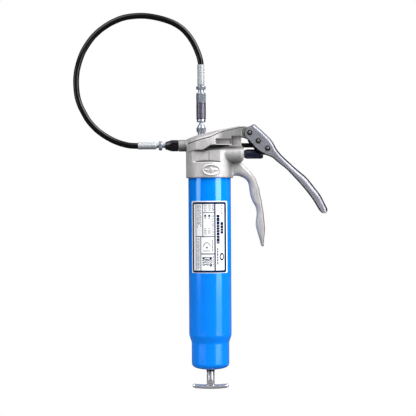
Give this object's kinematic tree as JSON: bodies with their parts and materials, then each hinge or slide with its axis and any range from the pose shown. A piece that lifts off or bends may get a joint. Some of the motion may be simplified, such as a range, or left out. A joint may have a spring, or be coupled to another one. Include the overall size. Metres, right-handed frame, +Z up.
{
  "type": "grease gun",
  "caption": "Hand lever grease gun with cast head and fixed grip, cartridge barrel, spring follower with T-handle, and a looped hose parked on the filler nipple.",
  "frame": {"origin": "on the barrel's axis at the head's lower rim", "axes": "+Z up along the barrel towards the head, +X towards the grip and the lever, -Y is the front with the badge and the label"},
  "size_m": [0.3398, 0.0639, 0.5057],
  "materials": {
    "cast_aluminium": "satin, fine cast texture",
    "barrel_paint": "gloss powder coat",
    "label_film": "semi-gloss printed film",
    "black_rubber": "matte",
    "hose_rubber": "satin, smooth cover",
    "black_plastic": "matte",
    "bright_steel": "turned, bright",
    "chrome_plate": "polished",
    "spring_steel": "drawn wire",
    "lever_coat": "satin, fine texture",
    "black_oxide": "satin black oxide",
    "brass": "turned",
    "seal_polymer": "matte",
    "cap_anodised": "satin dark anodised",
    "zinc_plate": "bright zinc plate",
    "sleeve_finish": "dark zinc nickel, satin"
  },
  "bodies": {
    "head": {"head_casting": "cast_aluminium", "barrel": "barrel_paint", "barrel_label": "label_film", "barrel_gasket": "black_rubber", "rod_bush": "black_plastic", "follower_spring": "spring_steel", "lever_spring": "spring_steel", "plunger_gland": "brass", "plunger_seal": "seal_polymer", "switch_collar": "bright_steel", "switch_cap": "cap_anodised", "switch_spring": "spring_steel", "outlet_nut": "black_oxide", "outlet_valve_seat": "brass", "outlet_check_spring": "spring_steel", "hose_stem_rear": "zinc_plate", "hose_ferrule_rear": "zinc_plate", "hose": "hose_rubber", "hose_ferrule_front": "zinc_plate", "hose_stem_front": "zinc_plate", "coupler_body": "zinc_plate", "coupler_jaws": "zinc_plate", "coupler_seal": "black_rubber", "filler_nipple": "zinc_plate", "nipple_spring": "spring_steel"},
    "lever": {"lever": "lever_coat", "yoke_plates": "black_oxide", "pivot_pin": "bright_steel", "drive_pin": "bright_steel", "yoke_rivets": "bright_steel", "pin_rings": "black_oxide"},
    "plunger": {"plunger": "black_oxide", "plunger_crosshead": "black_oxide"},
    "follower": {"follower_rod": "bright_steel", "t_handle": "chrome_plate", "follower_cup": "black_rubber", "follower_plates": "bright_steel", "follower_nut": "bright_steel"},
    "outlet_ball": {"outlet_check_ball": "bright_steel"},
    "switch_piston": {"switch_piston": "bright_steel"},
    "nipple_ball": {"nipple_ball": "bright_steel"},
    "coupler_sleeve": {"coupler_sleeve": "sleeve_finish"}
  },
  "joints": [
    {"name": "lever_squeeze", "type": "hinge", "parent": "head", "child": "lever", "pos_m": [0.0539, 0, 0.06], "axis": [0, 1, 0], "range_deg": [0, 22], "stiffness_Nm_per_rad": 1, "springref_deg": -20.05, "deforming": ["lever_spring"]},
    {"name": "plunger_stroke", "type": "slide", "parent": "head", "child": "plunger", "axis": [-1, 0, 0], "range_m": [0, 0.005]},
    {"name": "follower_draw", "type": "slide", "parent": "head", "child": "follower", "axis": [0, 0, -1], "range_m": [0, 0.23], "stiffness_N_per_m": 150, "springref_m": -0.08, "deforming": ["follower_spring"]},
    {"name": "outlet_check", "type": "slide", "parent": "head", "child": "outlet_ball", "axis": [-1, 0, 0], "range_m": [0, 0.0012], "stiffness_N_per_m": 400, "springref_m": -0.002, "deforming": ["outlet_check_spring"]},
    {"name": "pressure_relief", "type": "slide", "parent": "head", "child": "switch_piston", "axis": [1, 0, 0], "range_m": [0, 0.002], "stiffness_N_per_m": 2000, "springref_m": -0.003, "deforming": ["switch_spring"]},
    {"name": "nipple_check", "type": "slide", "parent": "head", "child": "nipple_ball", "axis": [0, 0, -1], "range_m": [0, 0.0008], "stiffness_N_per_m": 200, "springref_m": -0.001, "deforming": ["nipple_spring"]},
    {"name": "coupler_sleeve_turn", "type": "hinge", "parent": "head", "child": "coupler_sleeve", "pos_m": [-0.0108, 0, 0.09], "axis": [0, 0, 1], "range_deg": [0, 90]}
  ],
  "couplings": [
    {"joint": "plunger_stroke", "follows": "lever_squeeze", "m_per_rad": 0.0127}
  ]
}
